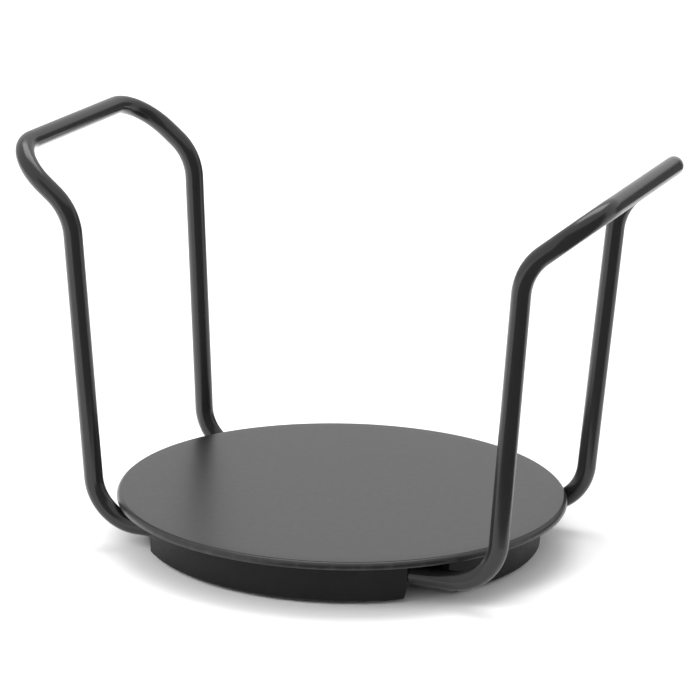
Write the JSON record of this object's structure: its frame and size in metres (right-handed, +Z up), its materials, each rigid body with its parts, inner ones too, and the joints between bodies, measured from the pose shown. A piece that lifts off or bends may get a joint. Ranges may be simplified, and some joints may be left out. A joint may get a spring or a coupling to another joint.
{
  "type": "adjustable plate holder",
  "caption": "Low round plate holder: a flat disc on a slotted base, with bent-rod handles that slide outwards on opposite sides to fit larger plates.",
  "frame": {"origin": "on the table, under the middle of the disc", "axes": "+X along the slide of the right handle, +Z up"},
  "size_m": [0.2632, 0.19, 0.1703],
  "materials": {
    "disc_coating": "satin black powder coat, which looks grey where it reflects pale surroundings",
    "rod_coating": "semi-gloss black lacquer",
    "housing_plastic": "black, fine satin moulded texture",
    "cover_plastic": "black, fine matt moulded texture",
    "clip_nylon": "smooth black nylon",
    "pad_silicone": "matt",
    "foot_rubber": "matt",
    "boss_steel": "plain zinc-plated steel",
    "screw_steel": "plain zinc-plated steel"
  },
  "bodies": {
    "base": {"base_housing": "housing_plastic", "bottom_cover": "cover_plastic", "cover_screws": "screw_steel", "disc_bosses": "boss_steel", "disc_screws": "screw_steel", "friction_pad_left_back": "pad_silicone", "friction_pad_left_front": "pad_silicone", "friction_pad_right_back": "pad_silicone", "friction_pad_right_front": "pad_silicone", "guide_clip_left_back_inner": "clip_nylon", "guide_clip_left_back_outer": "clip_nylon", "guide_clip_left_front_inner": "clip_nylon", "guide_clip_left_front_outer": "clip_nylon", "guide_clip_right_back_inner": "clip_nylon", "guide_clip_right_back_outer": "clip_nylon", "guide_clip_right_front_inner": "clip_nylon", "guide_clip_right_front_outer": "clip_nylon", "rubber_foot_back_left": "foot_rubber", "rubber_foot_back_right": "foot_rubber", "rubber_foot_front_left": "foot_rubber", "rubber_foot_front_right": "foot_rubber", "top_disc": "disc_coating"},
    "right_handle": {"handle_right": "rod_coating", "stop_screws_right": "screw_steel"},
    "left_handle": {"handle_left": "rod_coating", "stop_screws_left": "screw_steel"}
  },
  "joints": [
    {"name": "right_handle_slide", "type": "slide", "parent": "base", "child": "right_handle", "axis": [1, 0, 0], "range_m": [0, 0.056]},
    {"name": "left_handle_slide", "type": "slide", "parent": "base", "child": "left_handle", "axis": [-1, 0, 0], "range_m": [0, 0.056]}
  ]
}
